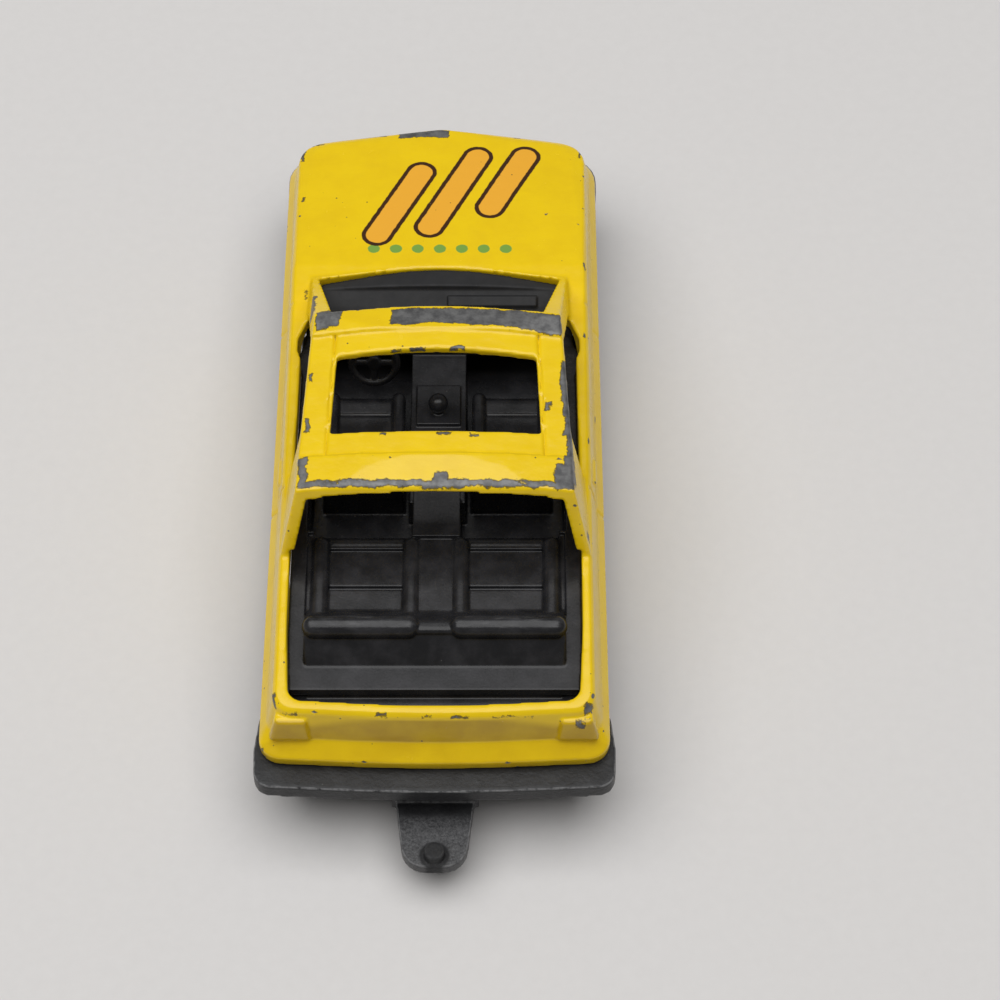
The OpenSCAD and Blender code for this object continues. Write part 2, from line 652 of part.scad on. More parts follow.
// The underside shows a plain exhaust, a silencer and stiffening ribs in relief
module underside_relief() {
    box([-6, rear_leaf_y - 4, floor_z - 0.4], [-2.6, rear_leaf_y + 3.5, floor_z + 0.2]);
    translate([-4.3, rear_leaf_y + 3, floor_z]) rotate([-90, 0, 0])
        cylinder(r = 0.5, h = front_leaf_y - rear_leaf_y);
    for (x = [2.6, 5.2, 7.8])
        box([x - 0.35, rear_leaf_y, floor_z - 0.25], [x + 0.35, front_leaf_y, floor_z + 0.2]);
}

module chassis_base() {
    color(plastic) difference() {
        union() {
            plate();
            rear_bumper();
            front_bumper();
            tow_tongue();
            axle_cheeks(front_axle_y);
            axle_cheeks(rear_axle_y);
            leaf_seat(front_leaf_y);
            leaf_seat(rear_leaf_y);
            both() box([rib_x - 0.5, rear_leaf_y, floor_top - 0.3], [rib_x + 0.5, front_leaf_y, tub_z]);
            underside_relief();
        }
        axle_slot(front_axle_y);
        axle_slot(rear_axle_y);
        valance_cuts();
        for (y = [front_post_y, rear_post_y]) {
            translate([0, y, floor_z - 1]) cylinder(r = head_r + 0.2, h = head_h + 1);
            translate([0, y, floor_z - 1]) cylinder(r = spigot_r + 0.1, h = floor_t + 2);
        }
    }
}

// Interior tub: floor, seats, console, dash and steering wheel in one black moulding
tub_half = plate_mid_half - 1;
shelf_gap = 0.06;
seat_half = rear_half - shelf_w;
cushion_rear = st(15.2);
cushion_front = st(22.9);
shelf_tail_y = st(7.4);
ledge_t = 0.5;
ledge_z = shelf_z - 1.2;
tub_floor_y = rear_axle_y + bay + 1.4;
tub_nose_y = cowl_y - 2.2;
console_z = 10.6;
hump_z = 12.4;
wheel_room = wheel_r + 0.25;
cushion_in = 1.35;
bolster_r = 0.75;
roll_r = 1;

// A bar with rounded ends, along Z from 0 to l
module capsule(r, l) {
    hull() for (z = [r, l - r])
        translate([0, 0, z]) sphere(r = r, $fn = 20);
}

// The shelf runs round the rear seat and on along the doors; behind it is a lower ledge
module shelf() {
    difference() {
        translate([0, 0, shelf_z - tub_t]) linear_extrude(tub_t) polygon(rear_plan(shelf_gap));
        box([-far, -far, 0], [far, shelf_tail_y, far]);
        box([tub_t - tub_half, cushion_front + 0.3, 0], [tub_half - tub_t, far, far]);
        box([0.05 - seat_half, cushion_rear - 0.6, 0], [seat_half - 0.05, far, far]);
        both() box([seat_half - 0.06, cushion_rear - 0.6, shelf_z - 0.35],
            [seat_half + 0.5, cushion_front + 0.2, far]);
    }
    intersection() {
        translate([0, 0, ledge_z - ledge_t]) linear_extrude(ledge_t) polygon(rear_plan(shelf_gap));
        box([-far, -far, 0], [far, shelf_tail_y + 0.6, far]);
    }
    box([-seat_half, shelf_tail_y, ledge_z - ledge_t], [seat_half, shelf_tail_y + 0.6, shelf_z - 0.1]);
}

// Rear seats: cushions with rounded bolsters and two seams, and backrests under round rolls
module rear_cushion() {
    box([-seat_half, st(11.7), cushion_z - 1.1], [seat_half, cushion_front - 0.6, cushion_z]);
    box([-cheek_x, st(11.7), cheek_top + 0.3], [cheek_x, cushion_front - 0.6, cushion_z]);
    translate([-seat_half, cushion_front - 0.7, cushion_z - 0.6]) rotate([0, 90, 0])
        cylinder(r = 0.7, h = 2 * seat_half);
    box([-seat_half, cushion_front - 1.2, tub_z], [seat_half, cushion_front - 0.2, cushion_z - 0.6]);
    both() for (x = [cushion_in + bolster_r, seat_half - bolster_r])
        translate([x, cushion_rear - 1.5, cushion_z - 0.1]) rotate([-90, 0, 0])
            capsule(bolster_r, cushion_front + 1.3 - cushion_rear);
    box([-cushion_in, cushion_rear - 1, cushion_z - 0.5], [cushion_in, cushion_front - 0.2, cushion_z + 0.3]);
}

module seams() {
    for (y = [cushion_front - 1.5, cushion_front - 5.3])
        both() box([cushion_in + 2 * bolster_r - 0.1, y - 0.2, cushion_z - 0.3],
            [seat_half - 2 * bolster_r + 0.1, y + 0.2, cushion_z + 0.2]);
}

module rear_backrest() {
    roll_y = st(12.25);
    roll_z = backrest_z - roll_r;
    outer = seat_half + 0.3;
    side = [[st(9.1), shelf_z - 0.6], [cushion_rear + 0.4, shelf_z - 0.6],
        [roll_y + 0.8 * roll_r, roll_z - 0.23], [roll_y - 0.8 * roll_r, roll_z - 0.23]];
    intersection() {
        across(side, -outer, outer);
        linear_extrude(far) polygon(rounded([[outer, far, 0], [-outer, far, 0], [-outer, st(9.1), 1.1],
            [outer, st(9.1), 1.1]]));
    }
    both() translate([cushion_in - 0.1, roll_y, roll_z]) rotate([0, 90, 0]) capsule(roll_r, outer + 0.27 - cushion_in);
    low = rounded([[roll_y - 0.68, roll_z - 1, 0], [roll_y + 0.63, roll_z - 1, 0],
        [roll_y + 0.63, backrest_z - 0.65, 0.4], [roll_y - 0.68, backrest_z - 0.65, 0.4]]);
    across(low, -cushion_in - 0.6, cushion_in + 0.6);
}

module rear_seat() {
    difference() {
        rear_cushion();
        seams();
    }
    rear_backrest();
}

module wheel_wells() {
    both() translate([wheel_in_x - 0.3, rear_axle_y, axle_z + travel]) rotate([0, 90, 0])
        cylinder(r = wheel_room, h = far);
}

seat_in = console_half + 1;
seat_out = tub_half - 1.9;
module front_seat() {
    foot = tub_z + tub_t - 0.2;
    back = rounded([[st(28.4), foot, 0.3], [st(31.6), foot, 0], [st(31), front_backrest_z - 0.4, 0.6],
        [st(29), front_backrest_z, 0.7]]);
    across(back, seat_in + 0.05, seat_out - 0.05);
    seat = rounded([[st(30), foot, 0], [st(39.4), foot, 0], [st(39.4), 9.7, 0.9], [st(37.3), 9.65, 0],
        [st(37.2), 9.4, 0], [st(37), 9.65, 0], [st(30), 9.3, 0]]);
    across(seat, seat_in + 0.33, seat_out - 0.33);
    for (x = [seat_in + 0.6, seat_out - 0.6])
        translate([x, st(29.8), 9.53]) rotate([-90, 0, 0]) capsule(0.6, st(39.57) - st(29.8));
}

module console() {
    box([-console_half, cushion_front - 0.4, tub_z], [console_half, st(27.4), hump_z]);
    box([-console_half - 0.4, st(27.3), tub_z], [console_half + 0.4, st(44), console_z - 0.3]);
    box([0.1 - console_half, st(35.5), console_z - 0.4], [console_half - 0.1, st(39.7), console_z + 0.1]);
    translate([0, st(36.9), console_z - 0.2]) cylinder(r = 0.45, h = 1.2);
    translate([0, st(36.9), console_z + 1.3]) sphere(r = 0.85, $fn = 32);
}

// The dash ends just under the hood's rear edge and is crowned like it, with a raised panel on the right
dash_gap = 0.15;
dash_y = st(43.4);
dash_crown_r = pow(hood_half, 2) / (2 * hood_crown);
module dash() {
    top = cowl_z - hood_crown - wall - 0.35;
    face = rounded([[dash_y, console_z - 0.5, 0.3], [st(51.4), console_z - 0.5, 0], [st(51.4), top - 0.5, 0.4],
        [st(49), top, 0], [dash_y + 0.6, top, 0.5]]);
    across(face, -screen_bottom_half + 0.1, screen_bottom_half - 0.1);
    shelf_top = cowl_z - 0.15;
    raised = [[dash_y + 1.6, top - 0.3], [st(50.4), top - 0.3], [st(50.4), shelf_top], [st(48.2), shelf_top],
        [st(48), shelf_top - 0.4], [dash_y + 3.2, shelf_top - 1.1]];
    intersection() {
        across(raised, -half, half);
        linear_extrude(far) polygon(screen_plan(dash_gap));
        translate([0, far, shelf_top - dash_crown_r]) rotate([90, 0, 0])
            cylinder(r = dash_crown_r, h = 2 * far, $fn = 360);
    }
    panel = [[dash_y + 2.6, top - 0.3], [st(47.4), top - 0.3], [st(47.4), shelf_top - 0.5],
        [dash_y + 3.2, shelf_top - 0.85]];
    across(panel, 0.8, screen_top_half - 0.5);
    both() box([tub_half - 1.6, dash_y + 0.6, tub_z], [tub_half - 0.8, st(47.6), top - 1]);
}

module steering_wheel() {
    translate([-0.53 * screen_bottom_half, st(41.1), 12.3]) rotate([62, 0, 0]) {
        rotate_extrude() translate([steering_r, 0]) circle(r = 0.33, $fn = 14);
        cylinder(r = 0.6, h = 0.5, center = true);
        for (a = [0, 180, 270])
            rotate([0, 0, a]) box([0, -0.25, -0.18], [steering_r, 0.25, 0.18]);
        rotate([180, 0, 0]) cylinder(r = 0.45, h = 3.6);
    }
}

module tub_shell() {
    box([-tub_half, tub_floor_y, tub_z], [tub_half, tub_nose_y, tub_z + tub_t]);
    both() box([tub_half - tub_t, tub_floor_y, tub_z], [tub_half, tub_nose_y, shelf_z - 0.1]);
    box([-tub_half, tub_nose_y - tub_t, tub_z], [tub_half, tub_nose_y, console_z]);
}

module interior_tub() {
    color(plastic) difference() {
        union() {
            tub_shell();
            shelf();
            rear_seat();
            both() front_seat();
            console();
            dash();
            steering_wheel();
        }
        wheel_wells();
    }
}

// Axles: steel wire with a spun head at each end
head_x = wheel_face_x - 0.65;
module axle(y) {
    color(steel) translate([0, y, axle_z]) rotate([0, 90, 0]) {
        translate([0, 0, -head_x]) cylinder(r = axle_r, h = 2 * head_x);
        for (end = [0, 180])
            rotate([0, end, 0]) translate([0, 0, head_x]) rotate_extrude()
                polygon([[0, -0.1], [axle_r + 0.45, 0], [axle_r + 0.45, 0.2], [axle_r + 0.15, 0.5], [0, 0.5]]);
    }
}

module front_axle() {
    axle(front_axle_y);
}

module rear_axle() {
    axle(rear_axle_y);
}

// Wheels: one-piece plastic, with a grooved tread, a dished disc and round dimples
module wheel() {
    w = wheel_w / 2;
    points = [[bore_r, -w], [1.9, -w], [1.9, -0.5], [wheel_r - 1, -0.5], [wheel_r - 0.8, -w], [wheel_r - 0.3, -w],
        [wheel_r, 0.35 - w], [wheel_r, -0.55], [wheel_r - 0.18, -0.45], [wheel_r - 0.18, -0.25], [wheel_r, -0.15],
        [wheel_r, 0.15], [wheel_r - 0.18, 0.25], [wheel_r - 0.18, 0.45], [wheel_r, 0.55], [wheel_r, w - 0.35],
        [wheel_r - 0.3, w], [wheel_r - 1.2, w - 0.1], [wheel_r - 1.35, w - 0.35], [wheel_r - 1.8, w - 0.35],
        [wheel_r - 1.95, w - 1], [1.75, w - 1], [1.6, w - 0.75], [bore_r, w - 0.75]];
    difference() {
        rotate_extrude() polygon(points);
        for (k = [1:wheel_dimples])
            rotate([0, 0, 360 / wheel_dimples * k]) translate([2.5, 0, w - 1.35])
                cylinder(r = 0.55, h = 1, $fn = 24);
    }
}

module right_wheel(y) {
    color(plastic) translate([wheel_mid_x, y, axle_z]) rotate([0, 90, 0]) wheel();
}

module front_left_wheel() {
    mirror([1, 0, 0]) right_wheel(front_axle_y);
}

module front_right_wheel() {
    right_wheel(front_axle_y);
}

module rear_left_wheel() {
    mirror([1, 0, 0]) right_wheel(rear_axle_y);
}

module rear_right_wheel() {
    right_wheel(rear_axle_y);
}

// Leaf springs: a flat strip from its peg to just past the axle, pressed on at its root by the tub
module leaf(root_y, axle_y, dir) {
    tip = axle_y - dir * 1.3;
    back = root_y + dir * 1.9;
    w = leaf_w / 2;
    points = rounded([[w, back, 0.8], [w, tip, 1], [-w, tip, 1], [-w, back, 0.8]]);
    color(steel) difference() {
        translate([0, 0, leaf_z]) linear_extrude(leaf_t) polygon(points);
        translate([0, root_y, 0]) cylinder(r = peg_r + 0.05, h = far);
    }
}

module front_axle_spring() {
    leaf(front_leaf_y, front_axle_y, -1);
}

module rear_axle_spring() {
    leaf(rear_leaf_y, rear_axle_y, 1);
}

body_casting();
chassis_base();
interior_tub();
front_axle();
rear_axle();
front_left_wheel();
front_right_wheel();
rear_left_wheel();
rear_right_wheel();
front_axle_spring();
rear_axle_spring();
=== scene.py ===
"""Toy car, die-cast and painted yellow, with a black interior and a tow tongue."""
import json
import math

import bmesh
import bpy
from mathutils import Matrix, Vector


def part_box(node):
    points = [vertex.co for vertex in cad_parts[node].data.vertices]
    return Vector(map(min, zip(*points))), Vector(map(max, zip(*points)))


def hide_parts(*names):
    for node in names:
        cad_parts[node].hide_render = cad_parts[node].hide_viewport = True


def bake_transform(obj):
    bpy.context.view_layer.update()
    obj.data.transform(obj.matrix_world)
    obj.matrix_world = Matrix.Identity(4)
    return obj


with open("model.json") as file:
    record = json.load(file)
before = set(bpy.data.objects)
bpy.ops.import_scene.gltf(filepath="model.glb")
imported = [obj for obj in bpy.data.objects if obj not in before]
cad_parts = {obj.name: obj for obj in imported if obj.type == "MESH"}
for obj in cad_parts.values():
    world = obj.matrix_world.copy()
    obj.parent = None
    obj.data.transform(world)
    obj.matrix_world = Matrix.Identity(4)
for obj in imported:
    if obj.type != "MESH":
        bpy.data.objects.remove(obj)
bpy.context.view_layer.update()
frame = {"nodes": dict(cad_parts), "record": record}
nodes = frame["nodes"]
scene = bpy.context.scene
scene.view_settings.view_transform = "Standard"


# Camera: a long lens behind and above the car and a little to its right, looking straight ahead
# and well down, as the photograph was taken.
sensor_width = 36.0
focal_length = 109.26
nearest_seen = 0.01
camera_place = (0.00547, -0.15326, 0.23027)
degrees_down = 56

camera_data = bpy.data.cameras.new("camera")
camera_data.sensor_width = sensor_width
camera_data.lens = focal_length
camera_data.clip_start = nearest_seen
camera = bpy.data.objects.new("camera", camera_data)
camera.location = camera_place
camera.rotation_euler = (math.radians(90 - degrees_down), 0, 0)
scene.collection.objects.link(camera)
scene.camera = camera


# Stage: a pale matt table top, lit by one large soft lamp overhead and a dim room.
# The lamp hangs a little to the left, so the table gets darker towards the right.
table_half = 1.5
table_drop = 0.00003
table_grey = (0.655, 0.64, 0.63, 1)
table_white = (0.695, 0.68, 0.67, 1)
lamp_width = 1.0
lamp_depth = 0.7
lamp_power = 5.1
lamp_place = (-0.1, -0.02, 0.62)
room_white = (1.0, 0.99, 0.98, 1)
room_strength = 0.17


def new_finish(name):
    material = bpy.data.materials.new(name)
    material.use_nodes = True
    return material, material.node_tree, material.node_tree.nodes["Principled BSDF"]


def feed(tree, socket, value):
    if isinstance(value, (int, float, tuple)):
        socket.default_value = value
    else:
        tree.links.new(value, socket)


def noise(tree, place, scale, detail=4.0, roughness=0.6, output="Fac"):
    node = tree.nodes.new("ShaderNodeTexNoise")
    node.inputs["Scale"].default_value = scale
    node.inputs["Detail"].default_value = detail
    node.inputs["Roughness"].default_value = roughness
    tree.links.new(place, node.inputs["Vector"])
    return node.outputs[output]


def mix(tree, factor, first, second):
    node = tree.nodes.new("ShaderNodeMix")
    node.data_type = "RGBA"
    # sockets 6 and 7 take the two colours, and output 2 gives the mixed one
    for socket, value in zip((node.inputs[0], node.inputs[6], node.inputs[7]), (factor, first, second)):
        feed(tree, socket, value)
    return node.outputs[2]


table_mesh = bpy.data.meshes.new("table_top")
bm = bmesh.new()
bmesh.ops.create_grid(bm, x_segments=4, y_segments=4, size=table_half)
bm.to_mesh(table_mesh)
bm.free()
table_top = bpy.data.objects.new("table_top", table_mesh)
table_top.location.z = -table_drop
scene.collection.objects.link(table_top)
table_paint, tree, shader = new_finish("table_top_white")
mottle = noise(tree, tree.nodes.new("ShaderNodeTexCoord").outputs["Object"], 900.0, detail=3.0)
tree.links.new(mix(tree, mottle, table_grey, table_white), shader.inputs["Base Color"])
shader.inputs["Roughness"].default_value = 0.8
shader.inputs["Specular IOR Level"].default_value = 0.2
table_mesh.materials.append(table_paint)

lamp_data = bpy.data.lights.new("softbox", "AREA")
lamp_data.shape = "RECTANGLE"
lamp_data.size = lamp_width
lamp_data.size_y = lamp_depth
lamp_data.energy = lamp_power
lamp = bpy.data.objects.new("softbox", lamp_data)
lamp.location = lamp_place
scene.collection.objects.link(lamp)

room = bpy.data.worlds.new("room")
room.use_nodes = True
room.node_tree.nodes["Background"].inputs["Color"].default_value = room_white
room.node_tree.nodes["Background"].inputs["Strength"].default_value = room_strength
scene.world = room


# Body: one zinc casting with its rivet posts, sprayed yellow and printed on the hood, and riveted
# over the chassis. The thick paint rounds its edges, and is chipped to bare metal where it is knocked.
merge_gap = 1e-6
fresh_yellow = (0.88, 0.605, 0.003, 1)
faded_yellow = (0.83, 0.555, 0.003, 1)
recess_shade_brown = (0.26, 0.16, 0.01, 1)
tail_shade_brown = (0.36, 0.20, 0.002, 1)
print_green = (0.20, 0.37, 0.06, 1)
print_orange = (0.88, 0.43, 0.035, 1)
print_outline = (0.05, 0.018, 0.005, 1)
chip_brown = (0.10, 0.075, 0.03, 1)
rim_shadow_brown = (0.06, 0.042, 0.012, 1)
dark_zinc = (0.09, 0.09, 0.092, 1)
pale_zinc = (0.21, 0.21, 0.208, 1)


def soften_edges(node, voxel, passes, fullness, kept):
    weld = node.modifiers.new("join_faces", "WELD")
    weld.merge_threshold = merge_gap
    remesh = node.modifiers.new("soft_edges", "REMESH")
    remesh.mode = "VOXEL"
    remesh.voxel_size = voxel
    remesh.use_smooth_shade = True
    relax = node.modifiers.new("relax", "SMOOTH")
    relax.factor = 0.5
    relax.iterations = passes
    fill = node.modifiers.new("fill_out", "DISPLACE")
    fill.mid_level = 0.0
    fill.strength = fullness
    lighten = node.modifiers.new("lighten", "DECIMATE")
    lighten.ratio = kept


def calc(tree, operation, *values):
    node = tree.nodes.new("ShaderNodeMath")
    node.operation = operation
    for socket, value in zip(node.inputs, values):
        feed(tree, socket, value)
    return node.outputs[0]


def vector(tree, operation, *values):
    node = tree.nodes.new("ShaderNodeVectorMath")
    node.operation = operation
    sockets = [node.inputs[0], node.inputs["Scale"]] if operation == "SCALE" else node.inputs
    for socket, value in zip(sockets, values):
        feed(tree, socket, value)
    return node.outputs["Value" if operation in ("LENGTH", "DOT_PRODUCT") else "Vector"]


# a mask that is 0 at one value and grows smoothly to 1 at another, which may be the lower one
def ramp(tree, value, none_at, full_at):
    node = tree.nodes.new("ShaderNodeMapRange")
    node.interpolation_type = "SMOOTHSTEP"
    node.inputs["From Min"].default_value = none_at
    node.inputs["From Max"].default_value = full_at
    tree.links.new(value, node.inputs["Value"])
    return node.outputs["Result"]


def split(tree, place):
    node = tree.nodes.new("ShaderNodeSeparateXYZ")
    tree.links.new(place, node.inputs[0])
    return node.outputs


def join(tree, *values):
    node = tree.nodes.new("ShaderNodeCombineXYZ")
    for socket, value in zip(node.inputs, values):
        feed(tree, socket, value)
    return node.outputs[0]


def millimetres(tree):
    place = tree.nodes.new("ShaderNodeTexCoord").outputs["Object"]
    return vector(tree, "SCALE", place, 1000.0)


def emboss(tree, shader, height, distance):
    relief = tree.nodes.new("ShaderNodeBump")
    relief.inputs["Distance"].default_value = distance
    tree.links.new(height, relief.inputs["Height"])
    tree.links.new(relief.outputs["Normal"], shader.inputs["Normal"])


def new_group(name, inputs, outputs):
    tree = bpy.data.node_groups.new(name, "ShaderNodeTree")
    for label, kind in inputs.items():
        tree.interface.new_socket(label, in_out="INPUT", socket_type="NodeSocket" + kind)
    for label in outputs:
        tree.interface.new_socket(label, in_out="OUTPUT", socket_type="NodeSocketFloat")
    return tree, tree.nodes.new("NodeGroupInput").outputs, tree.nodes.new("NodeGroupOutput").inputs


def use_group(tree, group, **values):
    node = tree.nodes.new("ShaderNodeGroup")
    node.node_tree = group
    for label, value in values.items():
        feed(tree, node.inputs[label], value)
    return node.outputs


# how deep, in millimetres, a place lies inside a patch, or inside an earlier one if that is deeper
patch_group, given, found = new_group(
    "bare_patch", {"Place": "Vector", "Middle": "Vector", "Reach": "Vector", "Before": "Float"}, ["Depth"])
away = vector(patch_group, "ABSOLUTE", vector(patch_group, "SUBTRACT", given["Place"], given["Middle"]))
left = split(patch_group, vector(patch_group, "SUBTRACT", given["Reach"], away))
inside = calc(patch_group, "MINIMUM", left[0], calc(patch_group, "MINIMUM", left[1], left[2]))
patch_group.links.new(calc(patch_group, "MAXIMUM", given["Before"], inside), found["Depth"])

# 1 on rubbed outer edges, broken up by noise, and how far a place lies in a recess
edge_group, given, found = new_group(
    "edge_wear", {"Place": "Vector", "Level": "Float", "Grain": "Float"}, ["Rubbed", "Recess"])
flat = 0.5
pointy = edge_group.nodes.new("ShaderNodeNewGeometry").outputs["Pointiness"]
grain = noise(edge_group, vector(edge_group, "SCALE", given["Place"], given["Grain"]), 1.0, 6.0, 0.65)
sharp = calc(edge_group, "MULTIPLY_ADD", calc(edge_group, "SUBTRACT", grain, 0.5), 0.18, pointy)
rubbed = ramp(edge_group, calc(edge_group, "SUBTRACT", sharp, given["Level"]), 0.0, 0.03)
hollow = ramp(edge_group, calc(edge_group, "SUBTRACT", flat, pointy), 0.01, 0.08)
edge_group.links.new(rubbed, found["Rubbed"])
edge_group.links.new(hollow, found["Recess"])

# small round specks of many sizes, at the given number to the millimetre, in a share of the places
speck_group, given, found = new_group(
    "specks", {"Place": "Vector", "Scale": "Float", "Size": "Float", "Share": "Float"}, ["Speck"])
cells = speck_group.nodes.new("ShaderNodeTexVoronoi")
speck_group.links.new(given["Place"], cells.inputs["Vector"])
speck_group.links.new(given["Scale"], cells.inputs["Scale"])
chance = split(speck_group, cells.outputs["Color"])
spread = calc(speck_group, "MULTIPLY", given["Size"], chance[0])
round_speck = ramp(speck_group, calc(speck_group, "SUBTRACT", spread, cells.outputs["Distance"]), 0.0, 0.04)
chosen = calc(speck_group, "LESS_THAN", chance[1], given["Share"])
speck_group.links.new(calc(speck_group, "MULTIPLY", round_speck, chosen), found["Speck"])

# distance from the outline of a round-ended bar on the hood, negative inside it
bar_group, given, found = new_group(
    "printed_bar",
    {"Place": "Vector", "Middle": "Vector", "Along": "Vector", "Half": "Float", "Round": "Float"},
    ["Distance"])
offset = vector(bar_group, "SUBTRACT", given["Place"], given["Middle"])
offset = vector(bar_group, "MULTIPLY", offset, (1.0, 1.0, 0.0))
run = vector(bar_group, "DOT_PRODUCT", offset, given["Along"])
held = calc(bar_group, "MAXIMUM", run, calc(bar_group, "MULTIPLY", given["Half"], -1.0))
held = calc(bar_group, "MINIMUM", held, given["Half"])
aside = vector(bar_group, "SUBTRACT", offset, vector(bar_group, "SCALE", given["Along"], held))
gap = calc(bar_group, "SUBTRACT", vector(bar_group, "LENGTH", aside), given["Round"])
bar_group.links.new(gap, found["Distance"])

body = nodes["body_casting"]
soften_edges(body, voxel=0.00014, passes=3, fullness=0.00004, kept=0.3)
body_paint, tree, shader = new_finish("yellow_paint")
place = millimetres(tree)

# the outlines of the bare patches wander, coarsely and finely
no_shift = (0.5, 0.5, 0.5)
wander = vector(tree, "SUBTRACT", noise(tree, place, 0.7, 3.0, 0.5, "Color"), no_shift)
nibble = vector(tree, "SUBTRACT", noise(tree, place, 3.6, 6.0, 0.7, "Color"), no_shift)
torn = vector(tree, "ADD", place, vector(tree, "SCALE", wander, 0.9))
torn = vector(tree, "ADD", torn, vector(tree, "SCALE", nibble, 0.55))

# the roof is crowned and its header bows forward, so their patches are laid out flat and straight
roof_crown_radius = 90.0
header_bow = 0.008
x, y, z = split(tree, torn)
crown = calc(tree, "MULTIPLY", x, x)
flat_z = calc(tree, "MULTIPLY_ADD", crown, 1 / (2 * roof_crown_radius), z)
roof_place = join(tree, x, y, flat_z)
header_place = join(tree, x, calc(tree, "MULTIPLY_ADD", crown, header_bow, y), flat_z)

# each patch has its middle and its reach to each side, in millimetres
header_patches = [
    ((3.35, 7.65, 20.3), (7.4, 1.0, 1.3)), ((-9.45, 8.1, 20.1), (1.05, 1.0, 1.3)),
]
roof_patches = [
    ((0.2, -10.03, 20.5), (11.6, 0.27, 0.5)), ((10.95, -9.2, 20.5), (0.85, 1.2, 1.0)),
    ((11.4, -8.3, 20.5), (0.45, 1.5, 1.0)), ((-11.15, -8.7, 20.5), (0.36, 1.4, 1.0)),
    ((0.45, -9.5, 20.7), (0.6, 0.38, 0.6)), ((11.0, 1.0, 20.5), (0.28, 2.2, 0.6)),
    ((11.2, -2.7, 20.5), (0.28, 2.1, 0.6)), ((11.45, -5.7, 20.5), (0.26, 1.5, 0.6)),
    ((9.6, -1.85, 20.6), (0.14, 0.4, 0.6)), ((9.72, -1.6, 20.6), (0.16, 0.22, 0.6)),
    ((-10.72, 1.3, 20.5), (0.14, 0.35, 0.6)), ((-10.92, -3.75, 20.5), (0.15, 0.6, 0.6)),
    ((1.75, 4.0, 20.5), (0.6, 0.13, 0.3)), ((-1.6, 4.05, 20.5), (0.6, 0.07, 0.3)),
    ((-3.5, 3.95, 20.5), (0.35, 0.08, 0.3)), ((-4.5, -5.05, 20.5), (0.25, 0.1, 0.3)),
    ((0.8, -5.05, 20.5), (0.5, 0.1, 0.3)), ((3.3, -5.05, 20.5), (0.4, 0.1, 0.3)),
]
body_patches = [
    ((-11.2, 10.4, 18.4), (0.42, 1.6, 1.3)), ((11.4, 9.6, 18.6), (0.1, 0.4, 0.6)),
    ((11.9, 11.2, 17.2), (0.1, 0.35, 0.6)), ((-13.2, -27.2, 13.4), (0.15, 0.9, 0.4)),
    ((-12.3, -28.15, 13.35), (0.95, 0.13, 0.3)), ((12.85, -27.8, 13.3), (0.32, 0.5, 0.5)),
    ((12.1, -28.6, 12.4), (0.28, 0.2, 0.2)), ((2.1, -28.5, 13.35), (0.65, 0.08, 0.12)),
    ((6.5, -28.5, 13.35), (1.7, 0.09, 0.12)), ((-4.4, -28.4, 13.35), (0.4, 0.07, 0.12)),
    ((-0.6, -28.5, 13.35), (0.3, 0.07, 0.12)), ((9.4, -28.4, 13.35), (0.6, 0.08, 0.12)),
    ((-1.8, 35.6, 12.1), (2.3, 0.5, 0.6)), ((-7.4, 35.5, 12.0), (2.2, 0.08, 0.3)),
    ((-13.0, 33.2, 11.6), (0.09, 0.7, 0.35)), ((-11.9, 34.7, 11.7), (0.9, 0.08, 0.3)),
    ((12.95, 33.2, 11.6), (0.05, 0.6, 0.3)), ((8.5, 35.35, 11.9), (1.6, 0.07, 0.3)),
    ((-12.66, 26.8, 13.0), (0.08, 0.3, 0.3)), ((-12.0, 14.6, 15.0), (0.16, 0.4, 0.4)),
    ((12.95, -11.5, 14.6), (0.22, 0.4, 0.5)), ((-14.35, -29.3, 9.0), (0.2, 0.2, 0.25)),
]
far_off = 9.0
depth = -far_off
for spot, patches in ((header_place, header_patches), (roof_place, roof_patches), (torn, body_patches)):
    for middle, reach in patches:
        depth = use_group(tree, patch_group, Place=spot, Middle=middle, Reach=reach, Before=depth)["Depth"]
patch_bare = ramp(tree, depth, 0.0, 0.03)
# a thin ring just outside each bare patch is darkened as painted shadow of the paint's edge
beside_patch = ramp(tree, depth, -0.10, -0.03)
paint_rim_shadow = calc(tree, "MULTIPLY", beside_patch, calc(tree, "SUBTRACT", 1.0, patch_bare))

# rubbed edges and the rivet heads below the chassis are bare too, and small chips dot the paint
x, y, z = split(tree, place)
wear = use_group(tree, edge_group, Place=place, Level=0.62, Grain=0.9)
rivet_heads = ramp(tree, z, 4.3, 4.1)
bare = calc(tree, "MAXIMUM", calc(tree, "MAXIMUM", patch_bare, wear["Rubbed"]), rivet_heads)
chips = use_group(tree, speck_group, Place=place, Scale=1.05, Size=0.12, Share=0.5)["Speck"]

# the yellow is uneven, and darkened with painted shade in its recesses and on the tail panel and apron
blotch = ramp(tree, noise(tree, place, 0.35, 5.0, 0.6), 0.3, 0.75)
yellow = mix(tree, blotch, fresh_yellow, faded_yellow)
# the recesses take painted shade, with some dirt, in brown
yellow = mix(tree, calc(tree, "MULTIPLY", wear["Recess"], 0.7), yellow, recess_shade_brown)
panel_height = calc(tree, "MULTIPLY", ramp(tree, z, 10.2, 10.5), ramp(tree, z, 13.1, 12.8))
tail_panel = calc(tree, "MULTIPLY", ramp(tree, y, -28.35, -28.6), panel_height)
apron = calc(tree, "MULTIPLY", ramp(tree, y, -28.5, -28.9), ramp(tree, z, 10.6, 10.0))
# the tail panel and the apron below it are darkened as painted shade, with a little grime
tail_shade_and_grime = calc(tree, "MULTIPLY_ADD", noise(tree, place, 0.35, 4.0, 0.55), 0.5, 0.35)
tail_shade_and_grime = calc(tree, "MULTIPLY", tail_shade_and_grime, calc(tree, "MULTIPLY_ADD", apron, 0.35, tail_panel))
yellow = mix(tree, tail_shade_and_grime, yellow, tail_shade_brown)

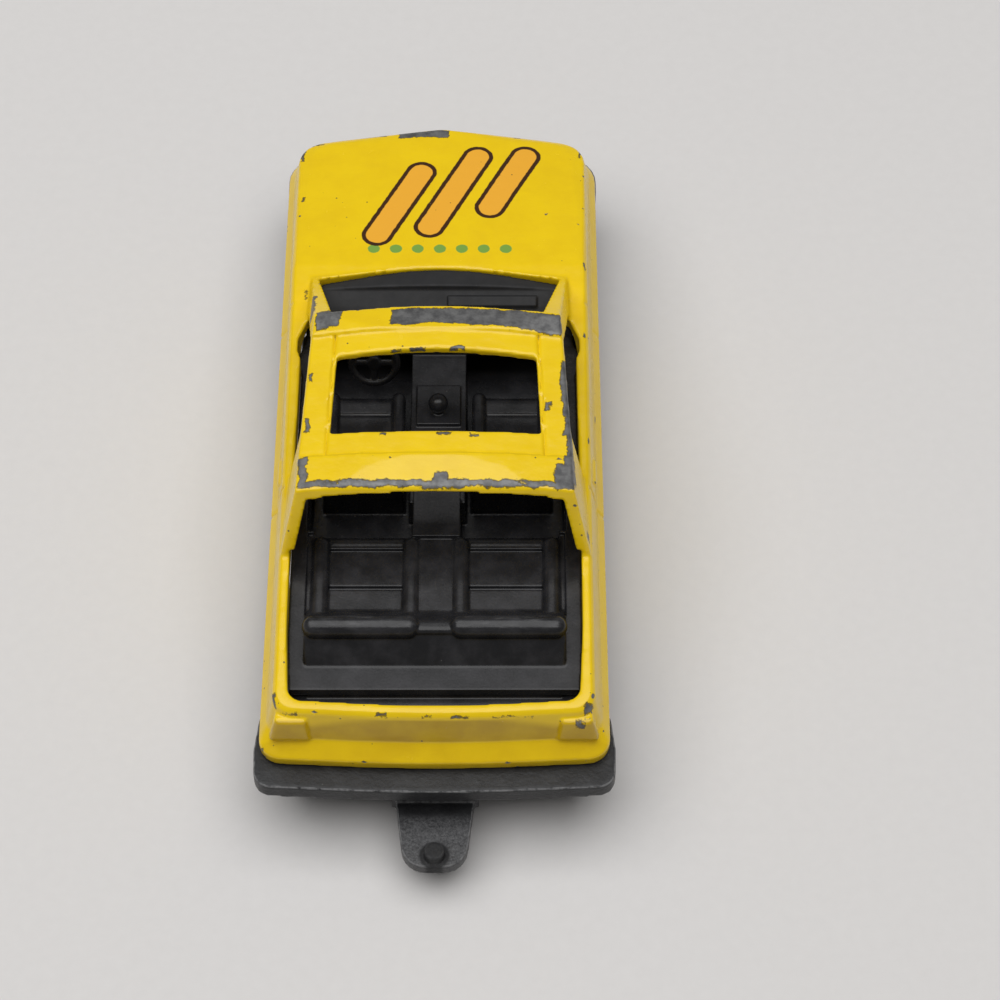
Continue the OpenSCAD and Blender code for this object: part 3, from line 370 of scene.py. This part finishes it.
# the hood's print is a plain pattern of slanted bars, with a row of dots behind them
bar_slant = (0.42, 0.9075, 0.0)
bar_radius = 1.25
printed_bars = [((-3.8, 26.0, 0.0), 4.6), ((1.2, 27.6, 0.0), 5.2), ((6.2, 29.0, 0.0), 3.9)]
dot_pitch = 2.0
dot_radius = 0.55
dot_row_y = 20.0
dot_row_half = 7.0
ink_edge = 0.05
on_hood = calc(tree, "MULTIPLY", ramp(tree, y, 18.6, 18.7), ramp(tree, z, 11.3, 11.4))
bars = far_off
for middle, half_length in printed_bars:
    bar = use_group(
        tree, bar_group, Place=place, Middle=middle, Along=bar_slant, Half=half_length, Round=bar_radius)
    bars = calc(tree, "MINIMUM", bars, bar["Distance"])
dot_x = calc(tree, "WRAP", x, dot_pitch / 2, -dot_pitch / 2)
from_dot = vector(tree, "LENGTH", join(tree, dot_x, calc(tree, "SUBTRACT", y, dot_row_y)))
past_row = calc(tree, "SUBTRACT", calc(tree, "ABSOLUTE", x), dot_row_half)
dots = calc(tree, "MAXIMUM", calc(tree, "SUBTRACT", from_dot, dot_radius), past_row)
smear = calc(tree, "MULTIPLY", calc(tree, "SUBTRACT", noise(tree, place, 2.0, 5.0, 0.6), 0.5), 0.16)
bars = calc(tree, "ADD", bars, smear)
dots = calc(tree, "ADD", dots, smear)
green = calc(tree, "MULTIPLY", on_hood, ramp(tree, dots, ink_edge, -ink_edge))
orange = calc(tree, "MULTIPLY", on_hood, ramp(tree, bars, ink_edge, -ink_edge))
outline = calc(tree, "MULTIPLY", on_hood, ramp(tree, calc(tree, "ABSOLUTE", bars), 0.24, 0.16))
inked = mix(tree, green, yellow, print_green)
inked = mix(tree, orange, inked, print_orange)
inked = mix(tree, outline, inked, print_outline)
inked = mix(tree, chips, inked, chip_brown)
# the ring round each bare patch takes its painted shadow
inked = mix(tree, calc(tree, "MULTIPLY", paint_rim_shadow, 0.8), inked, rim_shadow_brown)

# the bare zinc is pitted and duller, and lies deeper than the paint, which swells a little
pitted = ramp(tree, noise(tree, place, 1.1, 7.0, 0.65), 0.3, 0.7)
zinc = mix(tree, pitted, dark_zinc, pale_zinc)
tree.links.new(mix(tree, bare, inked, zinc), shader.inputs["Base Color"])
sheen = calc(tree, "MULTIPLY_ADD", noise(tree, place, 0.8, 5.0, 0.6), 0.18, 0.15)
tree.links.new(calc(tree, "MULTIPLY_ADD", bare, 0.22, sheen), shader.inputs["Roughness"])
tree.links.new(calc(tree, "MULTIPLY", bare, 0.45), shader.inputs["Metallic"])
sprayed = vector(tree, "MULTIPLY", place, (0.6, 1.0, 1.0))
swell = calc(tree, "MULTIPLY", noise(tree, sprayed, 0.75, 4.0, 0.5), 0.6)
emboss(tree, shader, calc(tree, "SUBTRACT", swell, bare), distance=0.00008)
body.material_slots[0].material = body_paint


# Interior: one black moulding with the seats, console, gear knob, dash and steering wheel, clamped
# between the body and the chassis. The seats' top rolls are lighter grey, as rubbing and as painted
# highlight, and it holds a little dust. Its recesses and its dash are darkened as painted shade.
seat_black = (0.012, 0.012, 0.0135, 1)
cloudy_black = (0.028, 0.0275, 0.0305, 1)
rubbed_highlight_grey = (0.075, 0.075, 0.078, 1)
recess_shade_black = (0.004, 0.004, 0.005, 1)
seat_dust = (0.25, 0.245, 0.23, 1)
dash_shade_black = (0.005, 0.005, 0.0055, 1)

tub = nodes["interior_tub"]
soften_edges(tub, voxel=0.0001, passes=2, fullness=0.00004, kept=0.17)
tub_plastic, tree, shader = new_finish("interior_black_plastic")
place = millimetres(tree)
x, y, z = split(tree, place)
cloudy = ramp(tree, noise(tree, place, 0.5, 6.0, 0.65), 0.35, 0.75)
black = mix(tree, cloudy, seat_black, cloudy_black)
# the top rolls are lightened grey as rubbing and as a painted highlight
streaks = noise(tree, vector(tree, "MULTIPLY", place, (0.5, 2.5, 2.5)), 1.0, 6.0, 0.65)
on_rolls = ramp(tree, z, 14.6, 15.1)
rubbed_and_highlit_rolls = calc(tree, "MULTIPLY", on_rolls, ramp(tree, streaks, 0.45, 0.85))
black = mix(tree, rubbed_and_highlit_rolls, black, rubbed_highlight_grey)
# recesses are darkened as painted shade
recess = use_group(tree, edge_group, Place=place)["Recess"]
black = mix(tree, calc(tree, "MULTIPLY", recess, 0.85), black, recess_shade_black)
dust = use_group(tree, speck_group, Place=place, Scale=1.1, Size=0.09, Share=0.3)["Speck"]
black = mix(tree, calc(tree, "MULTIPLY", dust, 0.5), black, seat_dust)
# the dash is duller than the seats, and darker as painted shade
on_dash = ramp(tree, y, 10.4, 11.4)
black = mix(tree, calc(tree, "MULTIPLY", on_dash, 0.7), black, dash_shade_black)
tree.links.new(black, shader.inputs["Base Color"])
sheen = calc(tree, "MULTIPLY_ADD", noise(tree, place, 0.9, 6.0, 0.7), 0.24, 0.14)
tree.links.new(calc(tree, "MULTIPLY_ADD", on_dash, 0.35, sheen), shader.inputs["Roughness"])
emboss(tree, shader, noise(tree, place, 5.0, 4.0, 0.6), distance=0.000007)
shader.inputs["Specular IOR Level"].default_value = 0.38
tub.material_slots[0].material = tub_plastic


# Chassis: one black moulding with the floor, both bumpers and the tow tongue with its pin, riveted
# under the body. The tongue is scuffed grey where it is knocked, and the bumpers' edges are lighter
# grey as wear and as painted highlight.
floor_black = (0.012, 0.012, 0.013, 1)
floor_cloud = (0.024, 0.0245, 0.026, 1)
tongue_scuff = (0.10, 0.10, 0.104, 1)
pin_black = (0.009, 0.009, 0.010, 1)
edge_highlight_grey = (0.17, 0.17, 0.172, 1)
corner_shade_black = (0.006, 0.006, 0.007, 1)
chassis_dust = (0.22, 0.22, 0.21, 1)
pin_y = 1000 * frame["record"]["mounts"][0]["pos_m"][1]

chassis = nodes["chassis_base"]
soften_edges(chassis, voxel=0.00014, passes=3, fullness=0.00003, kept=0.35)
chassis_plastic, tree, shader = new_finish("chassis_black_plastic")
place = millimetres(tree)
x, y, z = split(tree, place)
cloudy = ramp(tree, noise(tree, place, 0.6, 6.0, 0.65), 0.35, 0.7)
black = mix(tree, cloudy, floor_black, floor_cloud)
on_tongue = ramp(tree, y, -32.4, -33.2)
scuff = calc(tree, "MULTIPLY", on_tongue, ramp(tree, noise(tree, place, 5.0, 8.0, 0.8), 0.35, 0.68))
black = mix(tree, calc(tree, "MULTIPLY", scuff, 0.9), black, tongue_scuff)
# the pin and the ring at its foot stay black and dull
from_pin = vector(tree, "LENGTH", join(tree, x, calc(tree, "SUBTRACT", y, pin_y)))
on_pin = ramp(tree, from_pin, 1.4, 1.15)
black = mix(tree, calc(tree, "MULTIPLY", on_pin, 0.85), black, pin_black)
# upper edges are lighter grey where the surface turns from level to upright, as wear and painted highlight
facing = split(tree, tree.nodes.new("ShaderNodeNewGeometry").outputs["Normal"])[2]
turning = calc(tree, "MULTIPLY", ramp(tree, facing, 0.2, 0.45), ramp(tree, facing, 0.97, 0.86))
worn_and_highlit = calc(tree, "MULTIPLY", turning, ramp(tree, noise(tree, place, 1.4, 6.0, 0.7), 0.3, 0.6))
worn_and_highlit = calc(tree, "MULTIPLY", worn_and_highlit, calc(tree, "MULTIPLY_ADD", on_pin, -0.85, 1.0))
black = mix(tree, worn_and_highlit, black, edge_highlight_grey)
# corners and recesses are darkened as painted shade
recess = use_group(tree, edge_group, Place=place)["Recess"]
black = mix(tree, calc(tree, "MULTIPLY", recess, 0.7), black, corner_shade_black)
dust = use_group(tree, speck_group, Place=place, Scale=1.1, Size=0.09, Share=0.3)["Speck"]
black = mix(tree, calc(tree, "MULTIPLY", dust, 0.4), black, chassis_dust)
tree.links.new(black, shader.inputs["Base Color"])
sheen = calc(tree, "MULTIPLY_ADD", noise(tree, place, 0.9, 6.0, 0.7), 0.26, 0.25)
tree.links.new(calc(tree, "MULTIPLY_ADD", on_pin, 0.25, sheen), shader.inputs["Roughness"])
emboss(tree, shader, noise(tree, place, 3.0, 5.0, 0.65), distance=0.00005)
shader.inputs["Specular IOR Level"].default_value = 0.32
chassis.material_slots[0].material = chassis_plastic


# Axles: two bright steel wires with a spun head at each end, which keeps the wheels on.
# They run in slots in the chassis and are streaked along their length from drawing.
dark_wire = (0.46, 0.46, 0.47, 1)
bright_wire = (0.62, 0.62, 0.63, 1)
tarnish_brown = (0.30, 0.27, 0.24, 1)

axle_steel, tree, shader = new_finish("axle_steel_wire")
place = millimetres(tree)
drawn = noise(tree, vector(tree, "MULTIPLY", place, (0.6, 9.0, 9.0)), 1.0, 5.0, 0.6)
tarnish = ramp(tree, noise(tree, place, 0.9, 5.0, 0.6), 0.4, 0.75)
steel = mix(tree, drawn, dark_wire, bright_wire)
tree.links.new(mix(tree, tarnish, steel, tarnish_brown), shader.inputs["Base Color"])
tree.links.new(calc(tree, "MULTIPLY_ADD", tarnish, 0.25, 0.22), shader.inputs["Roughness"])
shader.inputs["Metallic"].default_value = 1.0
for name in ("front_axle", "rear_axle"):
    weld = nodes[name].modifiers.new("join_faces", "WELD")
    weld.merge_threshold = merge_gap
    nodes[name].material_slots[0].material = axle_steel


# Wheels: four one-piece mouldings of black plastic that turn on the axles' ends, inside their heads.
# Their edges are rubbed and dirt has gathered in the dimples.
wheel_black = (0.016, 0.016, 0.018, 1)
wheel_cloud = (0.032, 0.032, 0.034, 1)
wheel_rub = (0.11, 0.11, 0.11, 1)
wheel_dirt = (0.05, 0.047, 0.042, 1)

wheel_plastic, tree, shader = new_finish("wheel_black_plastic")
place = millimetres(tree)
wear = use_group(tree, edge_group, Place=place, Level=0.56, Grain=1.3)
cloudy = ramp(tree, noise(tree, place, 0.8, 6.0, 0.65), 0.35, 0.75)
black = mix(tree, cloudy, wheel_black, wheel_cloud)
black = mix(tree, calc(tree, "MULTIPLY", wear["Rubbed"], 0.5), black, wheel_rub)
black = mix(tree, calc(tree, "MULTIPLY", wear["Recess"], 0.4), black, wheel_dirt)
tree.links.new(black, shader.inputs["Base Color"])
sheen = calc(tree, "MULTIPLY_ADD", noise(tree, place, 1.2, 6.0, 0.7), 0.25, 0.32)
tree.links.new(sheen, shader.inputs["Roughness"])
emboss(tree, shader, noise(tree, place, 4.0, 4.0, 0.6), distance=0.00004)
for name in ("front_left_wheel", "front_right_wheel", "rear_left_wheel", "rear_right_wheel"):
    soften_edges(nodes[name], voxel=0.0001, passes=2, fullness=0.0, kept=0.4)
    nodes[name].material_slots[0].material = wheel_plastic


# Leaf springs: strips of spring steel, held on a peg at one end and pressing on an axle at the other.
# Each is cut into short lengths.
dark_strip = (0.36, 0.36, 0.38, 1)
bright_strip = (0.50, 0.50, 0.52, 1)
blued_strip = (0.20, 0.20, 0.23, 1)
strip_lengths = 14

spring_steel, tree, shader = new_finish("spring_steel_strip")
place = millimetres(tree)
rolled = noise(tree, vector(tree, "MULTIPLY", place, (8.0, 0.5, 8.0)), 1.0, 5.0, 0.6)
blued = ramp(tree, noise(tree, place, 0.7, 5.0, 0.6), 0.4, 0.75)
steel = mix(tree, rolled, dark_strip, bright_strip)
tree.links.new(mix(tree, blued, steel, blued_strip), shader.inputs["Base Color"])
tree.links.new(calc(tree, "MULTIPLY_ADD", rolled, 0.25, 0.2), shader.inputs["Roughness"])
shader.inputs["Metallic"].default_value = 1.0
for name, mover in (("front_axle_spring", "front_axle_set"), ("rear_axle_spring", "rear_axle_set")):
    low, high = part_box(name)
    mesh = bpy.data.meshes.new(name + "_strip")
    bm = bmesh.new()
    bm.from_mesh(nodes[name].data)
    bmesh.ops.remove_doubles(bm, verts=bm.verts, dist=merge_gap)
    for k in range(1, strip_lengths):
        cut = low.y + (high.y - low.y) * k / strip_lengths
        bmesh.ops.bisect_plane(
            bm, geom=bm.verts[:] + bm.edges[:] + bm.faces[:], plane_co=(0, cut, 0), plane_no=(0, 1, 0))
    bm.to_mesh(mesh)
    bm.free()
    mesh.materials.clear()
    mesh.materials.append(spring_steel)
    strip = bpy.data.objects.new(name + "_strip", mesh)
    scene.collection.objects.link(strip)
    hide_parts(name)
    # the front strip reaches forward from its peg, and the rear one back
    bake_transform(strip)
